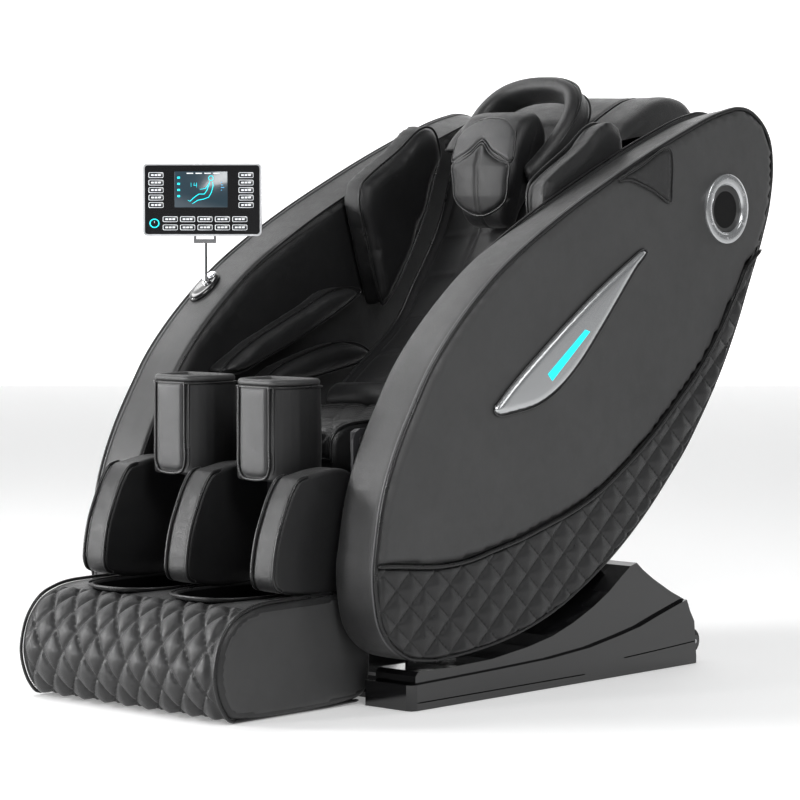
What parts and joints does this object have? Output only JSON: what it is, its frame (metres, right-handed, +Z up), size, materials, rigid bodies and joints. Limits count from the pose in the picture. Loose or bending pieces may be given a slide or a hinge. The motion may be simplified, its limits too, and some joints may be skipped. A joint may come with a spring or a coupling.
{
  "type": "massage chair",
  "caption": "Reclining massage chair with leaf-shaped side shells, quilted legrest, neck ring pillow, roller carriage and swivelling tablet remote on a glossy base.",
  "frame": {"origin": "on the floor, in the symmetry plane of the two side shells, midway along the chair", "axes": "+Z up, the sitter faces -Y, +X is the sitter's left"},
  "size_m": [0.8215, 1.44, 1.1641],
  "materials": {
    "chrome": "polished",
    "leather_dark": "satin",
    "leather_quilt": "satin",
    "light_bar": "emissive",
    "massage_polymer": "matte",
    "padded_leather": "satin leather over foam",
    "padded_quilt": "quilted leather over foam",
    "padded_rim": "satin leather over foam",
    "plastic_gloss": "gloss",
    "plastic_matte": "matte",
    "rubber": "matte",
    "screen": "gloss",
    "silver": "metallic silver",
    "steel": "brushed",
    "steel_paint": "satin",
    "tablet_white": "gloss"
  },
  "bodies": {
    "chassis": {"air_pump": "steel_paint", "arm_pads_lower": "padded_leather", "arm_pads_upper": "padded_leather", "axle_pins": "steel", "base_pan": "plastic_gloss", "base_skirt": "plastic_gloss", "blade_housings": "silver", "blade_lights": "light_bar", "control_box": "plastic_matte", "corner_insets": "leather_dark", "cradle_left": "plastic_gloss", "cradle_right": "plastic_gloss", "foot_pads": "rubber", "main_frame": "steel_paint", "power_inlet": "plastic_matte", "side_liner_left": "leather_dark", "side_liner_right": "leather_dark", "side_panel_left": "leather_dark", "side_panel_right": "leather_dark", "side_quilt_left": "leather_quilt", "side_quilt_right": "leather_quilt", "side_rim_left": "padded_rim", "side_rim_right": "padded_rim", "speaker_grilles": "plastic_matte", "speaker_rings": "silver", "tablet_mount": "chrome"},
    "seat": {"seat_frame": "steel_paint", "seat_cushion": "padded_quilt", "seat_pivot_pins": "steel"},
    "back": {"back_frame": "steel_paint", "back_cushion": "padded_leather", "back_cover": "plastic_matte", "hood": "padded_leather", "lead_screw": "steel", "shoulder_pad_left": "padded_leather", "shoulder_pad_right": "padded_leather"},
    "pillow": {"neck_ring": "padded_leather", "head_pad": "padded_leather"},
    "carriage": {"massage_carriage": "steel"},
    "roller_left": {"massage_roller_left": "massage_polymer"},
    "roller_right": {"massage_roller_right": "massage_polymer"},
    "leg": {"leg_frame": "steel_paint", "calf_pad_left": "padded_leather", "calf_pad_middle": "padded_leather", "calf_pad_right": "padded_leather", "knee_pad_left": "padded_leather", "knee_pad_right": "padded_leather"},
    "foot": {"footrest": "padded_leather"},
    "foot_roll": {"foot_roller": "massage_polymer"},
    "wheel_left": {"transport_wheel_left": "rubber"},
    "wheel_right": {"transport_wheel_right": "rubber"},
    "leg_act": {"leg_actuator_body": "steel_paint"},
    "leg_rod": {"leg_actuator_rod": "steel"},
    "back_act": {"back_actuator_body": "steel_paint"},
    "back_rod": {"back_actuator_rod": "steel"},
    "switch": {"power_switch": "plastic_matte"},
    "button": {"quick_button": "chrome"},
    "post": {"tablet_post": "chrome"},
    "tablet": {"tablet_case": "tablet_white", "tablet_glass": "screen"}
  },
  "joints": [
    {"name": "seat_tilt", "type": "hinge", "parent": "chassis", "child": "seat", "pos_m": [0, -0.04, 0.33], "axis": [-1, 0, 0], "range_deg": [0, 18]},
    {"name": "back_recline", "type": "hinge", "parent": "seat", "child": "back", "pos_m": [0, 0.02, 0.47], "axis": [-1, 0, 0], "range_deg": [-3, 30]},
    {"name": "leg_lift", "type": "hinge", "parent": "seat", "child": "leg", "pos_m": [0, -0.352, 0.475], "axis": [-1, 0, 0], "range_deg": [0, 80]},
    {"name": "footrest_extend", "type": "slide", "parent": "leg", "child": "foot", "axis": [0, 0, -1], "range_m": [0, 0.11]},
    {"name": "pillow_flip", "type": "hinge", "parent": "back", "child": "pillow", "pos_m": [0, 0.441, 1.11], "axis": [-1, 0, 0], "range_deg": [0, 60]},
    {"name": "carriage_travel", "type": "slide", "parent": "back", "child": "carriage", "axis": [0, 0.5373, 0.8434], "range_m": [0, 0.3]},
    {"name": "roller_left_spin", "type": "hinge", "parent": "carriage", "child": "roller_left", "pos_m": [0.049, 0.27687, 0.63217], "axis": [1, 0, 0], "continuous": true},
    {"name": "roller_right_spin", "type": "hinge", "parent": "carriage", "child": "roller_right", "pos_m": [-0.049, 0.27687, 0.63217], "axis": [1, 0, 0], "continuous": true},
    {"name": "foot_roller_spin", "type": "hinge", "parent": "foot", "child": "foot_roll", "pos_m": [0, -0.52, 0.062], "axis": [1, 0, 0], "continuous": true},
    {"name": "wheel_left_spin", "type": "hinge", "parent": "chassis", "child": "wheel_left", "pos_m": [0.35, 0.487, 0.0375], "axis": [1, 0, 0], "continuous": true},
    {"name": "wheel_right_spin", "type": "hinge", "parent": "chassis", "child": "wheel_right", "pos_m": [-0.35, 0.487, 0.0375], "axis": [1, 0, 0], "continuous": true},
    {"name": "leg_actuator_swing", "type": "hinge", "parent": "seat", "child": "leg_act", "pos_m": [0, -0.06, 0.29], "axis": [-1, 0, 0], "range_deg": [0, 12.37]},
    {"name": "leg_actuator_stroke", "type": "slide", "parent": "leg_act", "child": "leg_rod", "axis": [0, -0.9925, 0.1219], "range_m": [0, 0.18052]},
    {"name": "back_actuator_swing", "type": "hinge", "parent": "seat", "child": "back_act", "pos_m": [0.06, -0.179, 0.32], "axis": [-1, 0, 0], "range_deg": [-1, 3]},
    {"name": "back_actuator_stroke", "type": "slide", "parent": "back_act", "child": "back_rod", "axis": [0, 0.9126, 0.4089], "range_m": [-0.034, 0.006]},
    {"name": "power_rock", "type": "hinge", "parent": "chassis", "child": "switch", "pos_m": [0.029, 0.446, 0.055], "axis": [1, 0, 0], "range_deg": [0, 12]},
    {"name": "quick_press", "type": "slide", "parent": "chassis", "child": "button", "axis": [0, 0.6187, -0.7856], "range_m": [0, 0.0025], "stiffness_N_per_m": 600},
    {"name": "tablet_swivel", "type": "hinge", "parent": "chassis", "child": "post", "pos_m": [-0.345, -0.165, 0.75384], "axis": [0, 0, 1], "range_deg": [-60, 60]},
    {"name": "tablet_tilt", "type": "hinge", "parent": "post", "child": "tablet", "pos_m": [-0.345, -0.165, 0.843], "axis": [0.7431, 0.6691, 0], "range_deg": [-15, 20]}
  ],
  "couplings": [
    {"joint": "footrest_extend", "follows": "leg_lift", "m_per_rad": 0.07735},
    {"joint": "leg_actuator_swing", "follows": "leg_lift", "ratio": 0.15154},
    {"joint": "leg_actuator_stroke", "follows": "leg_lift", "m_per_rad": 0.12675},
    {"joint": "back_actuator_swing", "follows": "back_recline", "ratio": 0.02568},
    {"joint": "back_actuator_stroke", "follows": "back_recline", "m_per_rad": -0.05837}
  ]
}
